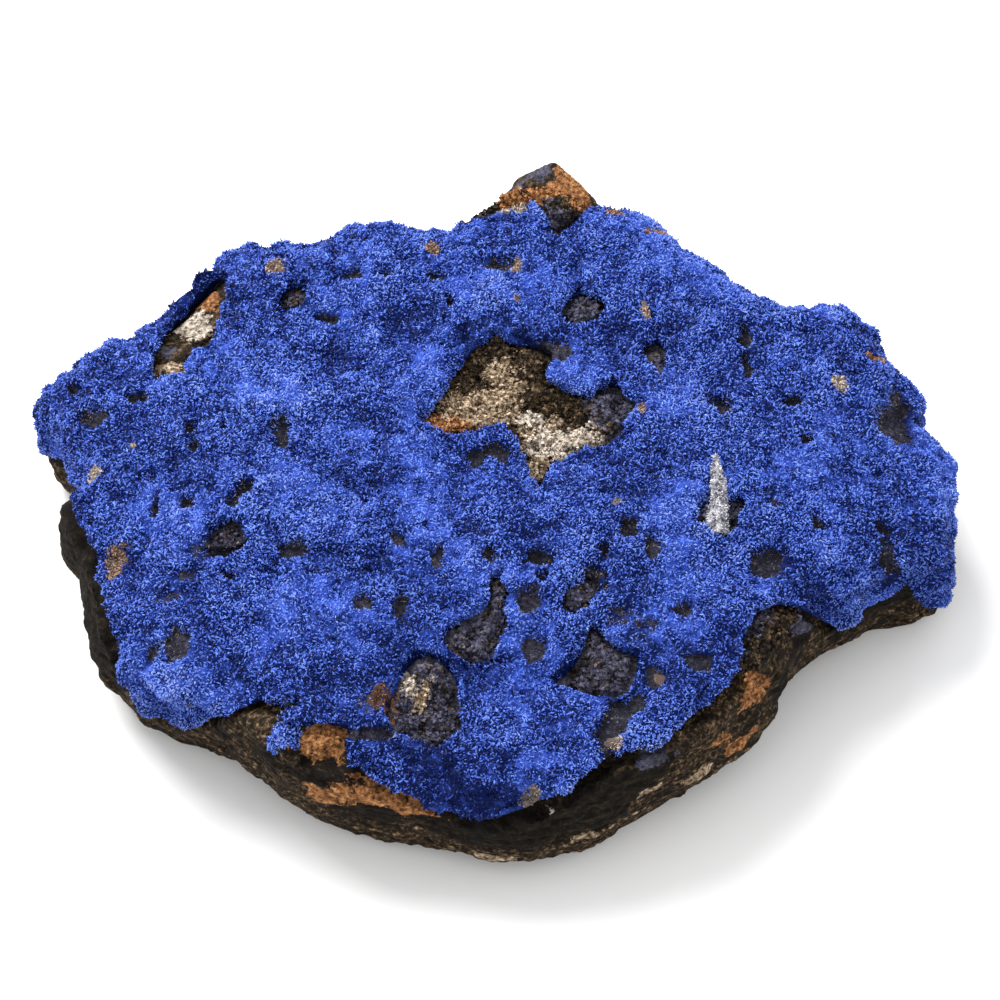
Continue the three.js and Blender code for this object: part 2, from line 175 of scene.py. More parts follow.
def copy_of(node, name):
    """A merged, closed copy of a CAD node's mesh as a piece of its own."""
    only(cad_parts[node])
    bpy.ops.object.duplicate()
    piece = bpy.context.view_layer.objects.active
    piece.name = name
    piece.data.name = name
    piece.data.materials.clear()
    bpy.ops.object.mode_set(mode="EDIT")
    bpy.ops.mesh.select_all(action="SELECT")
    bpy.ops.mesh.remove_doubles(threshold=1e-6)
    bpy.ops.mesh.normals_make_consistent(inside=False)
    bpy.ops.object.mode_set(mode="OBJECT")
    return piece


def read(collection, key, width, kind=np.float32):
    """One property of every vertex, face or loop, as an array."""
    flat = np.empty(len(collection) * width, kind)
    collection.foreach_get(key, flat)
    return flat.reshape(-1, width) if width > 1 else flat


def places(mesh):
    return read(mesh.vertices, "co", 3).astype(float)


def directions(mesh):
    return read(mesh.vertex_normals, "vector", 3).astype(float)


def set_places(mesh, points):
    mesh.vertices.foreach_set("co", points.astype(np.float32).ravel())
    mesh.update()


def set_values(mesh, **named):
    """Stores numbers for each vertex, for the materials to read."""
    for name, values in named.items():
        layer = mesh.attributes.get(name) or mesh.attributes.new(name, "FLOAT", "POINT")
        layer.data.foreach_set("value", np.asarray(values, np.float32))


def triangles(mesh):
    mesh.calc_loop_triangles()
    return read(mesh.loop_triangles, "vertices", 3, np.int32)


def unit(v):
    return v / np.maximum(np.linalg.norm(v, axis=1), 1e-12)[:, None]


def search_tree(body):
    corners = [v.co for v in body.data.vertices]
    return BVHTree.FromPolygons(corners, [tuple(p.vertices) for p in body.data.polygons])


def nearness(mesh, other):
    """How far each vertex is from another body's surface, and how squarely it faces it (1 to -1)."""
    tree = search_tree(other)
    points = places(mesh)
    nearest = np.array([tree.find_nearest(Vector(p))[0] for p in points])
    gap = np.linalg.norm(nearest - points, axis=1)
    return gap, (directions(mesh) * unit(nearest - points)).sum(1)


def covered(mesh, other):
    """Which vertices another body hides."""
    gap, facing = nearness(mesh, other)
    return (gap < HIDDEN_GAP * MM) & (facing > HIDDEN_FACING)


def below_top(points):
    """The points with their highest parts eased down, to keep the specimen's height."""
    start = cad_box[1][2] - TOP_EASE * MM
    over = np.maximum(points[:, 2] - start, 0)
    eased = points.copy()
    eased[:, 2] = np.minimum(points[:, 2], start) + TOP_EASE * MM * np.tanh(over / (TOP_EASE * MM))
    return eased


def thin_out(piece, chosen):
    """Keeps only a share of the faces round the chosen vertices."""
    only(piece)
    bpy.ops.object.mode_set(mode="EDIT")
    bpy.ops.mesh.select_mode(type="VERT")
    bpy.ops.mesh.select_all(action="DESELECT")
    bpy.ops.object.mode_set(mode="OBJECT")
    piece.data.vertices.foreach_set("select", chosen)
    bpy.ops.object.mode_set(mode="EDIT")
    bpy.ops.mesh.select_mode(type="VERT")
    bpy.ops.mesh.decimate(ratio=HIDDEN_SHARE)
    bpy.ops.object.mode_set(mode="OBJECT")


def flat_map(mesh):
    """Lays the mesh out as seen from above, over the whole of its map but for a thin border."""
    border = 0.01
    layer = mesh.uv_layers.new(name="OFBake")
    points = places(mesh)[:, :2]
    low, high = points.min(0), points.max(0)
    flat = border + (1 - 2 * border) * (points - low) / (high - low)
    corners = read(mesh.loops, "vertex_index", 1, np.int32)
    layer.data.foreach_set("uv", flat[corners].astype(np.float32).ravel())


# ---------------------------------------------------------------- repeatable noise
def scramble(cells, seed):
    """A repeatable number from 0 to 1 for each whole-number cell."""
    x, y, z = (cells[..., i].astype(np.int64) for i in range(3))
    h = (x * 73856093) ^ (y * 19349663) ^ (z * 83492791) ^ (seed * 2654435)
    h = (h ^ (h >> 13)) & 0xFFFFFFFF
    h = (h * 1274126177) & 0xFFFFFFFF
    h = (h ^ (h >> 16)) & 0xFFFFFF
    return h / float(0x1000000)


def rolling(points, size, seed):
    """Rolling noise from -1 to 1 with features about one size across."""
    cell = points / (size * MM)
    base = np.floor(cell)
    part = cell - base
    ease = part * part * (3 - 2 * part)
    total = np.zeros(len(points))
    for corner in np.ndindex(2, 2, 2):
        weight = np.ones(len(points))
        for axis in range(3):
            weight *= ease[:, axis] if corner[axis] else 1 - ease[:, axis]
        total += weight * scramble(base + np.array(corner), seed)
    return 2 * total - 1


def layered(points, size, seed, layers=3, fall=0.5):
    """Rolling noise with finer and fainter noise laid over it."""
    total = np.zeros(len(points))
    for layer in range(layers):
        total += fall**layer * rolling(points, size * 0.5**layer, seed + 17 * layer)
    return total


def mounds(points, size, seed):
    """Rounded mounds packed side by side: 1 on top of a mound, near 0 in the creases."""
    cell = points / (size * MM)
    base = np.floor(cell)
    nearest = np.full(len(points), 9.0)
    for step in np.ndindex(3, 3, 3):
        corner = base + np.array(step) - 1
        jitter = np.stack([scramble(corner, seed + k) for k in range(3)], 1)
        away = ((corner + jitter - cell) ** 2).sum(1)
        nearest = np.minimum(nearest, away)
    return np.clip(1 - nearest, 0, 1)


def ramp(values, low, high):
    """0 below low, 1 above high and an eased slope between."""
    t = np.clip((values - low) / (high - low), 0, 1)
    return t * t * (3 - 2 * t)


def height_ramp(points, low, high):
    return ramp(points[:, 2] / MM, low, high)


def warped(points, amount, size, seed):
    """The points moved about sideways, so that outlines drawn with them come out ragged."""
    moved = points.copy()
    for axis in range(2):
        moved[:, axis] += amount * MM * layered(points, size, seed + 5 * axis, fall=0.6)
    return moved


def within(points, spot, soft):
    """How far each point lies inside a spot seen from above, with an edge of some softness."""
    x, y, half_x, half_y = spot
    away = np.hypot((points[:, 0] / MM - x) / half_x, (points[:, 1] / MM - y) / half_y)
    return 1 - ramp(away, 1 - soft, 1 + soft)


def pitting(points):
    """How bare and hollow the crust is at each point: 1 in the middle of a pit."""
    ragged = warped(points, amount=0.45, size=1.3, seed=40)
    bare = np.zeros(len(points))
    for x, y, half_x, half_y in PITS:
        bare = np.maximum(bare, within(ragged, (x, y, PIT_WIDTH * half_x, PIT_DEPTH * half_y), 0.25))
    for spot in THIN_PLACES:
        bare = np.maximum(bare, 0.55 * within(ragged, spot, 0.45))
    tiny = rolling(points, 1.9, 71) + 0.5 * rolling(points, 0.9, 75)
    return np.maximum(bare, 0.8 * ramp(tiny, 0.98, 1.2))


def speckling(points):
    """How stained the crystals are, and how pale the stain is."""
    ragged = warped(points, amount=0.35, size=0.9, seed=90)
    amount, pale = np.zeros(len(points)), np.zeros(len(points))
    for *spot, paleness in SPECKS:
        here = within(ragged, spot, 0.45)
        pale = np.where(here > amount, paleness, pale)
        amount = np.maximum(amount, here)
    return amount, pale


def zone(points, spots, seed):
    """How far each point lies inside any of the spots, with ragged outlines."""
    ragged = warped(points, amount=0.8, size=2.2, seed=seed) / MM
    ragged[:, 2] += 0.7 * layered(points, 2.0, seed + 9, 2)
    amount = np.zeros(len(points))
    for spot in spots:
        away = np.linalg.norm((ragged - spot[:3]) / spot[3:], axis=1)
        amount = np.maximum(amount, 1 - ramp(away, 0.6, 1.4))
    return amount


def hollow_share(points):
    """1 on the ground of the windows, 0 out at the slab's edge."""
    return ramp(34 - np.hypot(points[:, 0] / MM, points[:, 1] / MM), 3, 6)


def mark_rock(mesh, points, tint):
    """Stores what kind of ground each point of the rock is, and its painted shade and light."""
    hollow = height_ramp(points, 11.5, 12.5) * hollow_share(points) * (1 - zone(points, CENTRAL_WINDOW, 191))
    gold = 0.9 * (1 - height_ramp(points, 3.0, 7.5)) + 0.7 * height_ramp(points, 11, 12.5)
    gold += ramp(layered(points, 7, 231, fall=0.6), -0.1, 0.6)
    set_values(
        mesh,
        cream=zone(points, CREAM, 101),
        chalk=zone(points, CHALK, 121),
        rust=zone(points, RUST, 131),
        dusk=np.maximum(zone(points, DUSK, 161), 0.85 * hollow),
        gold=np.clip(gold, 0, 1),
        tint=tint,
    )


# ---------------------------------------------------------------- bodies
def crust_relief(points, steep):
    """The crust's swells, mounds, creases and wrinkles, and where the wrinkles run."""
    rise = 0.50 * layered(points, size=7, seed=3, layers=2)
    rise += 0.85 * (mounds(points, size=3.6, seed=5) - MOUND_MIDDLE)
    rise += 0.50 * (mounds(points, size=1.7, seed=8) - MOUND_MIDDLE)
    rise += 0.16 * rolling(points, size=0.8, seed=9)
    rise += 0.6 * steep * (mounds(points, size=4.2, seed=12) - 0.5)
    crease = np.abs(rolling(points, size=5.5, seed=51) + 0.35 * rolling(points, size=1.6, seed=52))
    rise -= 0.55 * (1 - ramp(crease, 0.0, 0.12)) * ramp(rolling(points, size=9, seed=55), -0.1, 0.5)
    wrinkle = np.abs(rolling(points, size=2.3, seed=57) + 0.5 * rolling(points, size=0.9, seed=58))
    wrinkle = 1 - ramp(wrinkle, 0.0, 0.16)
    rise -= 0.32 * wrinkle * ramp(rolling(points, size=5, seed=59), -0.5, 0.1)
    return rise - 0.26, wrinkle


def make_crust(rock):
    """The crust's own surface, from which the crystals grow."""
    crust = copy_of("azurite_crust", "crust_ground")
    resurface(crust, CRUST_GRID)
    thin_out(crust, covered(crust.data, rock))
    mesh = crust.data
    points, normals = places(mesh), directions(mesh)
    gap, facing = nearness(mesh, rock)
    outer = 1 - ramp(facing, 0.1, 0.6) * (1 - ramp(gap, 0.9 * MM, 1.3 * MM))
    steep = 1 - ramp(normals[:, 2], 0.3, 0.8)
    rise, wrinkle = crust_relief(points, steep)
    # The relief also sets the crystals' painted shade and light: low in creases and wrinkles, high on mounds.
    relief = np.clip(0.5 + rise / 1.5 - 0.25 * wrinkle, 0, 1)
    bare = pitting(points)
    rise = rise * (1 - 0.6 * bare) - PIT_FALL * bare
    deepest = np.minimum(-0.3, 0.6 - gap / MM)
    rise = np.where(bare > 0.02, np.maximum(rise, deepest), rise)
    sideways = np.stack([layered(points, 1.8, 60 + 7 * k, fall=0.6) for k in range(3)], 1)
    sideways *= (WALL_RAGGEDNESS * outer * steep)[:, None]
    set_places(mesh, below_top(points + MM * (normals * (rise * outer)[:, None] + sideways)))
    stain, pale = speckling(points)
    set_values(mesh, bare=bare, stain=stain, pale=pale, tint=0 * stain, outer=outer, relief=relief)
    smooth(crust)
    flat_map(mesh)
    return crust


def make_rock(crust):
    """The host rock: streaky, layered walls, chips in the windows and a smoother knob at the back."""
    rock = copy_of("matrix_rock", "rock_ground")
    resurface(rock, ROCK_GRID)
    under = (places(rock.data)[:, 2] < UNDERSIDE * MM) & (directions(rock.data)[:, 2] < -0.98)
    thin_out(rock, covered(rock.data, crust) | under)
    mesh = rock.data
    points, normals = places(mesh), directions(mesh)
    open_air = ramp(nearness(mesh, crust)[0], 0.4 * MM, 1.0 * MM)
    free = open_air * height_ramp(points, 0.1, 1.2)
    layers = points * np.array([1, 1, 3.2])
    window = height_ramp(points, 11, 12) * hollow_share(points)
    knob = height_ramp(points, 15, 16.5) * (1 - window)
    rise = 0.60 * layered(points, size=6, seed=203, layers=2)
    rise += 0.22 * layered(layers, size=2.4, seed=205, fall=0.6)
    chips = 0.20 * layered(points, size=0.8, seed=209, layers=2, fall=0.6)
    chips += 0.75 * (mounds(points, size=1.05, seed=215) - MOUND_MIDDLE)
    streaks = 0.16 * layered(layers, size=1.1, seed=219, layers=2, fall=0.6)
    streaks += 0.26 * (mounds(layers, size=2.0, seed=212) - MOUND_MIDDLE)
    fine = window * chips + (1 - window) * streaks
    rise += fine + 0.55 * ramp(normals[:, 2], 0.6, 0.9) * window
    rise *= 1 - 0.7 * knob
    set_places(mesh, below_top(points + normals * (rise * MM * free)[:, None]))
    relief = np.clip(0.5 + fine / 0.8, 0, 1)
    set_values(mesh, outer=open_air * height_ramp(points, 0.4, 1.0), relief=relief)
    # The rock's painted shade and light follow its relief: darker in creases, lighter on raised chips and
    # streaks.
    mark_rock(mesh, points, 0.15 + 0.5 * relief)
    smooth(rock)
    return rock


def make_small_body(node, name, grid, rise):
    """A rough copy of one of the small CAD nodes."""
    piece = copy_of(node, name)
    resurface(piece, grid)
    mesh = piece.data
    points, normals = places(mesh), directions(mesh)
    bulge = rise * layered(points, size=1.4, seed=301, fall=0.6)
    set_places(mesh, points + MM * normals * bulge[:, None])
    set_values(mesh, outer=np.ones(len(points)))
    smooth(piece)
    flat_map(mesh)
    return piece


# ---------------------------------------------------------------- crystals
# A blade from its root up to its tip, and its faces.
BLADE = np.array([[0, 0, -1], [1, 0, 0.45], [0, 1, 0.6], [-1, 0, 0.45], [0, -1, 0.6], [0.35, 0.15, 1]], float)
BLADE_FACES = np.array(
    [[2, 1, 0], [3, 2, 0], [4, 3, 0], [1, 4, 0], [1, 2, 5], [2, 3, 5], [3, 4, 5], [4, 1, 5]]
)
BLADE_LIFT = 0.1  # how far a blade's middle stands off its seat, as a share of its half length


def seats_on(body, spacing, rng):
    """Evenly scattered places on the open parts of a body, with the way the surface faces there."""
    mesh = body.data
    points, faces = places(mesh), triangles(mesh)
    outer = read(mesh.attributes["outer"].data, "value", 1)
    a, b, c = (points[faces[:, k]] for k in range(3))
    area = np.linalg.norm(np.cross(b - a, c - a), axis=1) / 2
    share = area * (outer[faces].mean(1) > 0.4)
    wanted = int(SEATS_TRIED * share.sum() / (spacing * MM) ** 2)
    pick = rng.choice(len(faces), wanted, p=share / share.sum())
    u, v = rng.random((2, wanted))
    flip = u + v > 1
    u[flip], v[flip] = 1 - u[flip], 1 - v[flip]
    seats = a[pick] + (b - a)[pick] * u[:, None] + (c - a)[pick] * v[:, None]
    normals = directions(mesh)[faces].mean(1)
    cell = np.floor(seats / (spacing * MM)).astype(np.int64) + 2048
    key = (cell[:, 0] * 4096 + cell[:, 1]) * 4096 + cell[:, 2]
    first = np.unique(key, return_index=True)[1]
    relief = 0.5 * np.ones(len(faces))
    if "relief" in mesh.attributes:
        relief = read(mesh.attributes["relief"].data, "value", 1)[faces].mean(1)
    return seats[first], unit(normals[pick][first]), relief[pick][first]


def per_blade(values):
    """Repeats one value or place for every corner of its blade."""
    return np.repeat(values, len(BLADE), axis=0)


def blades(name, seats, normals, rng, size, lean=1.9, grown=1.0):
    """One joined mesh of blades rooted at the seats. size is length, width and thickness."""
    count = len(seats)
    along = unit(normals + lean * unit(rng.normal(size=(count, 3))))
    side = unit(np.cross(along, unit(rng.normal(size=(count, 3)))))
    third = np.cross(along, side)
    scale = (np.asarray(size) * MM / 2)[None]
    scale = scale * rng.uniform(0.7, 1.3, (count, 1)) * rng.uniform(0.85, 1.15, (count, 3))
    scale = scale * np.broadcast_to(grown, count)[:, None]
    centre = seats + along * (BLADE_LIFT * scale[:, :1])
    shape = BLADE[None]
    corners = (
        centre[:, None]
        + side[:, None] * (shape[..., 0] * scale[:, 1:2])[..., None]
        + third[:, None] * (shape[..., 1] * scale[:, 2:3])[..., None]
        + along[:, None] * (shape[..., 2] * scale[:, :1])[..., None]
    )
    faces = BLADE_FACES[None] + len(BLADE) * np.arange(count)[:, None, None]
    mesh = bpy.data.meshes.new(name)
    mesh.from_pydata(corners.reshape(-1, 3), [], faces.reshape(-1, 3))
    piece = bpy.data.objects.new(name, mesh)
    bpy.context.scene.collection.objects.link(piece)
    flat_map(mesh)
    return piece


def grow_druse(crust, rng):
    """The crystals all over the crust, sparse and short in its pits."""
    seats, normals, relief = seats_on(crust, DRUSE_SPACING, rng)
    bare = pitting(seats)
    keep = rng.random(len(seats)) > 0.4 * bare
    seats, normals, relief, bare = seats[keep], normals[keep], relief[keep], bare[keep]
    order = np.argsort(seats[:, 0], kind="stable")
    pieces = []
    for number, members in enumerate(np.array_split(order, DRUSE_PIECES), 1):
        grown = (0.7 + 0.3 * ramp(normals[members, 2], 0.1, 0.6)) * (1 - 0.4 * bare[members])
        druse = blades(f"druse_{number}", seats[members], normals[members], rng, DRUSE_BLADE, grown=grown)
        stain, pale = speckling(seats[members])
        # Each crystal's tone is random, plus painted shade and light: darker where the crust's relief is low,
        # in its creases and wrinkles, and lighter on its mounds.
        tint = 0.15 + 0.75 * rng.random(len(members)) + 0.65 * (relief[members] - 0.58)
        # Painted shade: crystals darkened in the shaded spots.
        tint -= 0.4 * zone(seats[members], SHADED_CRYSTAL_SPOTS, 171)
        set_values(
            druse.data,
            bare=per_blade(bare[members]),
            stain=per_blade(stain),
            pale=per_blade(pale),
            tint=per_blade(tint),
        )
        pieces.append(druse)
    return pieces


def grow_rock_grains(rock, rng):
    """The grains and chips on the ground of the windows."""
    seats, normals, relief = seats_on(rock, ROCK_GRAIN_SPACING, rng)
    radius = np.hypot(seats[:, 0] / MM, seats[:, 1] / MM)
    keep = (radius < ROCK_GRAIN_RADIUS) & (seats[:, 2] > ROCK_GRAIN_FLOOR * MM) & (normals[:, 2] > 0.5)
    seats, normals, relief = seats[keep], normals[keep], relief[keep]
    grains = blades("rock_grains", seats, normals, rng, ROCK_GRAIN, lean=1.6)
    # Each grain's tone is random, plus painted shade and light from the rock's relief under it.
    tint = 0.3 * rng.random(len(seats)) + 0.65 * relief
    mark_rock(grains.data, per_blade(seats), per_blade(tint))
    return grains


def clear_of(seats, normals, body, reach):
    """Which seats aren't covered by another body."""
    tree = search_tree(body)
    away = np.array([tree.find_nearest(Vector(p))[3] for p in seats + normals * 0.5 * reach * MM])
    return away > 0.45 * reach * MM


def make_patch(rock, rng):
    """The small cluster that grew by itself on the rock, with its own crystals."""
    patch = make_small_body("azurite_patch", "patch_ground", PATCH_GRID, 0.30)
    seats, normals, _ = seats_on(patch, PATCH_SPACING, rng)
    keep = clear_of(seats, normals, rock, 0.5)
    seats, normals = seats[keep], normals[keep]
    druse = blades("patch_druse", seats, normals, rng, DRUSE_BLADE)
    nothing = np.zeros(len(druse.data.vertices))
    tint = per_blade(rng.random(len(seats)))
    set_values(druse.data, bare=nothing, stain=nothing, pale=nothing, tint=tint)
    nothing = np.zeros(len(patch.data.vertices))
    set_values(patch.data, bare=nothing, stain=nothing, pale=nothing, tint=nothing)
    return patch, druse


def make_needle(rng):
    """The pale sliver lying on the crust, grainy all over."""
    needle = make_small_body("pale_needle", "needle_core", NEEDLE_GRID, 0.22)
    seats, normals, _ = seats_on(needle, NEEDLE_SPACING, rng)
    grains = blades("needle_grains", seats, normals, rng, NEEDLE_GRAIN, lean=1.8)
    set_values(needle.data, tint=np.full(len(needle.data.vertices), 0.3))
    set_values(grains.data, tint=per_blade(rng.random(len(seats))))
    return needle, grains


# ---------------------------------------------------------------- materials
# Colours from dark to light, as [place on the scale, colour].
# The crystals' own blues, with the lightest, paler stops standing in for glints: painted highlights on the
# lighter crystals.
AZURITE_BLUES_AND_GLINTS = [
    (0.0, (0.003, 0.009, 0.065)),
    (0.22, (0.036, 0.080, 0.43)),
    (0.6, (0.112, 0.208, 0.69)),
    (0.85, (0.155, 0.250, 0.67)),
    (1.0, (0.26, 0.34, 0.70)),
]
PIT_GROUND = [
    (0.26, (0.012, 0.012, 0.019)),
    (0.40, (0.036, 0.034, 0.052)),
    (0.52, (0.096, 0.088, 0.110)),
    (0.63, (0.30, 0.25, 0.21)),
]
RUSTY_CRYSTALS = [(0.0, (0.06, 0.03, 0.02)), (0.5, (0.28, 0.12, 0.05)), (1.0, (0.5, 0.28, 0.14))]
PALE_CRYSTALS = [(0.0, (0.12, 0.10, 0.09)), (0.5, (0.42, 0.36, 0.30)), (1.0, (0.75, 0.70, 0.64))]
PLAIN_ROCK = [(0.36, (0.002, 0.0016, 0.0012)), (0.5, (0.008, 0.006, 0.0045)), (0.66, (0.034, 0.024, 0.015))]
GOLDEN_ROCK = [
    (0.36, (0.003, 0.0022, 0.0015)),
    (0.48, (0.016, 0.0110, 0.007)),
    (0.55, (0.064, 0.042, 0.024)),
    (0.61, (0.155, 0.104, 0.057)),
    (0.68, (0.36, 0.255, 0.15)),
]
DARK_PATCHES = (0.009, 0.008, 0.008)
CREAM_GROUND = [
    (0.36, (0.04, 0.024, 0.014)),
    (0.45, (0.17, 0.115, 0.07)),
    (0.56, (0.35, 0.27, 0.185)),
    (0.7, (0.62, 0.53, 0.42)),
]
RUST_GROUND = [
    (0.33, (0.035, 0.016, 0.008)),
    (0.5, (0.23, 0.095, 0.035)),
    (0.66, (0.47, 0.24, 0.10)),
    (0.75, (0.60, 0.40, 0.22)),
]
DUSK_GROUND = [
    (0.33, (0.014, 0.014, 0.022)),
    (0.5, (0.053, 0.052, 0.081)),
    (0.65, (0.104, 0.100, 0.138)),
    (0.78, (0.22, 0.205, 0.21)),
]
CHALK_GROUND = [
    (0.36, (0.06, 0.045, 0.034)),
    (0.46, (0.28, 0.23, 0.185)),
    (0.55, (0.48, 0.42, 0.35)),
    (0.7, (0.76, 0.70, 0.62)),
]
# Painted shade and light for the rock: a multiplier that darkens its low creases and lightens its raised
# chips and streaks.
CREVICE_SHADE_AND_RIDGE_LIGHT = [
    (0.0, (0.12, 0.11, 0.10)),
    (0.25, (0.55, 0.53, 0.5)),
    (0.45, (1, 1, 1)),
    (1.0, (1.5, 1.5, 1.5)),
]
NEEDLE_GREYS = [
    (0.0, (0.06, 0.06, 0.085)),
    (0.3, (0.26, 0.255, 0.29)),
    (0.7, (0.50, 0.49, 0.51)),
    (1.0, (0.80, 0.79, 0.80)),
]


class Look:
    """A material being built from nodes."""

    def __init__(self, name):
        self.material = bpy.data.materials.new(name)
        self.material.use_nodes = True
        self.nodes = self.material.node_tree.nodes
        self.links = self.material.node_tree.links
        self.nodes.clear()
        out = self.nodes.new("ShaderNodeOutputMaterial")
        self.shader = self.nodes.new("ShaderNodeBsdfPrincipled")
        self.links.new(self.shader.outputs[0], out.inputs[0])
        self.coords = self.nodes.new("ShaderNodeTexCoord").outputs["Object"]

    def feed(self, socket, value):
        """Sets a socket to a number or colour, or links it to another node's output."""
        if isinstance(value, (int, float)):
            socket.default_value = value
        elif isinstance(value, tuple):
            socket.default_value = (*value, 1)
        else:
            self.links.new(value, socket)

    def value(self, name):
        """A number that the mesh stores at each vertex."""
        node = self.nodes.new("ShaderNodeAttribute")
        node.attribute_name = name
        return node.outputs["Fac"]

    def noise(self, size, detail=2.0, rough=0.5, stretch=None):
        node = self.nodes.new("ShaderNodeTexNoise")
        node.inputs["Scale"].default_value = 1 / (size * MM)
        node.inputs["Detail"].default_value = detail
        node.inputs["Roughness"].default_value = rough
        coords = self.coords
        if stretch:
            mapping = self.nodes.new("ShaderNodeMapping")
            mapping.inputs["Scale"].default_value = stretch
            self.links.new(coords, mapping.inputs["Vector"])
            coords = mapping.outputs[0]
        self.links.new(coords, node.inputs["Vector"])
        return node.outputs["Fac"]

    def colours(self, factor, stops):
        node = self.nodes.new("ShaderNodeValToRGB")
        elements = node.color_ramp.elements
        while len(elements) > 1:
            elements.remove(elements[-1])
        for number, (place, colour) in enumerate(stops):
            element = elements[0] if number == 0 else elements.new(place)
            element.position = place
            element.color = (*colour, 1)
        self.links.new(factor, node.inputs[0])
        return node.outputs[0]

    def combine(self, kind, first, second):
        node = self.nodes.new("ShaderNodeMath")
        node.operation = kind
        self.feed(node.inputs[0], first)
        self.feed(node.inputs[1], second)
        return node.outputs[0]

    def spread(self, factor, low, high, to_low=0.0, to_high=1.0):
        """An eased slope from one number to another."""
        node = self.nodes.new("ShaderNodeMapRange")
        node.interpolation_type = "SMOOTHSTEP"
        for name, value in (("From Min", low), ("From Max", high), ("To Min", to_low), ("To Max", to_high)):
            node.inputs[name].default_value = value
        self.links.new(factor, node.inputs["Value"])
        return node.outputs[0]

    def stray(self, noise, amount):
        """Noise spread over its usual range, as a number to add to another: from -amount to amount."""
        return self.spread(noise, 0.3, 0.7, -amount, amount)

    def blend(self, factor, first, second, kind="MIX"):
        node = self.nodes.new("ShaderNodeMix")
        node.data_type = "RGBA"
        node.blend_type = kind
        sockets = [s for s in node.inputs if s.type == "RGBA"]
        self.feed(node.inputs[0], factor)
        self.feed(sockets[0], first)
        self.feed(sockets[1], second)
        return next(s for s in node.outputs if s.type == "RGBA")

    def finish(self, colour, roughness, shine):
        self.links.new(colour, self.shader.inputs["Base Color"])
        self.links.new(roughness, self.shader.inputs["Roughness"])
        self.shader.inputs["Specular IOR Level"].default_value = shine
        return self.material

    def bump(self, height, depth, strength):
        node = self.nodes.new("ShaderNodeBump")
        node.inputs["Strength"].default_value = strength
        node.inputs["Distance"].default_value = depth * MM
        self.links.new(height, node.inputs["Height"])
        self.links.new(node.outputs[0], self.shader.inputs["Normal"])


def azurite_look(name, shine):
    """Blue crystals that give way to dark ground in the pits, and are stained here and there; their stored
    tone carries painted shade and painted glints.
    """
    look = Look(name)
    # The stored tone, which holds painted shade and light, plus a random wander.
    tint = look.combine("ADD", look.value("tint"), look.stray(look.noise(9, 3), 0.12))
    tint = look.combine("ADD", tint, look.stray(look.noise(1.6, 3), 0.1))
    blue = look.colours(tint, AZURITE_BLUES_AND_GLINTS)
    fine = look.combine("MULTIPLY", look.noise(0.4, 3, 0.6), 0.6)
    by_crystal = look.combine("MULTIPLY", tint, 0.35)
    ground = look.colours(look.combine("ADD", fine, by_crystal), PIT_GROUND)
    rusty = look.colours(look.value("tint"), RUSTY_CRYSTALS)
    stain = look.blend(look.value("pale"), rusty, look.colours(look.value("tint"), PALE_CRYSTALS))
    broken = look.noise(0.7, 2)
    bare = look.spread(look.combine("ADD", look.value("bare"), look.stray(broken, 0.2)), 0.4, 0.7)
    stained = look.spread(look.combine("ADD", look.value("stain"), look.stray(broken, 0.25)), 0.35, 0.65)
    colour = look.blend(stained, look.blend(bare, blue, ground), stain)
    look.bump(look.noise(0.16, 2), 0.05, 0.5)
    return look.finish(colour, look.spread(look.noise(0.6, 2), 0.3, 0.7, 0.38, 0.6), shine)


def rock_look():
    """Dark rock with golden speckle, coloured ground laid over it zone by zone, and painted shade in its
    creases with painted light on its raised parts.
    """
    look = Look("host_rock")
    coarse = look.noise(3.5, 4, 0.6)
    grain = look.noise(0.38, 3, 0.65)
    streak = look.noise(0.9, 3, 0.6, (1, 1, 2.5))
    mixed = look.combine("ADD", look.combine("MULTIPLY", grain, 0.55), look.combine("MULTIPLY", streak, 0.45))
    plain, golden = look.colours(mixed, PLAIN_ROCK), look.colours(mixed, GOLDEN_ROCK)
    colour = look.blend(look.spread(look.value("gold"), 0.1, 0.9), plain, golden)
    colour = look.blend(look.spread(coarse, 0.5, 0.75), colour, DARK_PATCHES)
    wander = look.stray(look.noise(0.9, 4, 0.7), 0.5)
    for name, stops in (
        ("dusk", DUSK_GROUND),
        ("rust", RUST_GROUND),
        ("cream", CREAM_GROUND),
        ("chalk", CHALK_GROUND),
    ):
        amount = look.spread(look.combine("ADD", look.value(name), wander), 0.48, 0.7)
        colour = look.blend(amount, colour, look.colours(grain, stops))
    # Painted shade in the creases and painted light on the raised parts, multiplied in.
    shade = look.colours(look.spread(look.value("tint"), 0.0, 1.0), CREVICE_SHADE_AND_RIDGE_LIGHT)
    colour = look.blend(1.0, colour, shade, "MULTIPLY")
    height = look.combine("ADD", grain, look.combine("MULTIPLY", look.noise(0.16, 2), 0.5))
    look.bump(height, 0.25, 0.8)
    return look.finish(colour, look.spread(grain, 0.3, 0.7, 0.6, 0.95), 0.07)


def pale_look():
    """The pale grey, satin mineral of the needle."""
    look = Look("pale_mineral")
    tint = look.combine("ADD", look.value("tint"), look.stray(look.noise(0.8, 3), 0.3))
    look.bump(look.noise(0.15, 3), 0.06, 0.6)
    roughness = look.spread(look.noise(0.4, 2), 0.3, 0.7, 0.5, 0.8)
    return look.finish(look.colours(tint, NEEDLE_GREYS), roughness, 0.2)


# ---------------------------------------------------------------- stage
FLOOR_WIDTH = 6.0  # metres, as are the light's place and size
FLOOR_GREY = 0.86
SKY = 1.18
LIGHT_PLACE, LIGHT_SIZE, LIGHT_POWER = (-0.22, 0.28, 0.42), 0.36, 4.6

CAMERA_ELEVATION = math.radians(55)
CAMERA_DISTANCE = 420.0
CAMERA_AIM = (0.34, 0.40, 8.0)
CAMERA_LENS, CAMERA_SHIFT = 164.54, (0.004, 0.011)


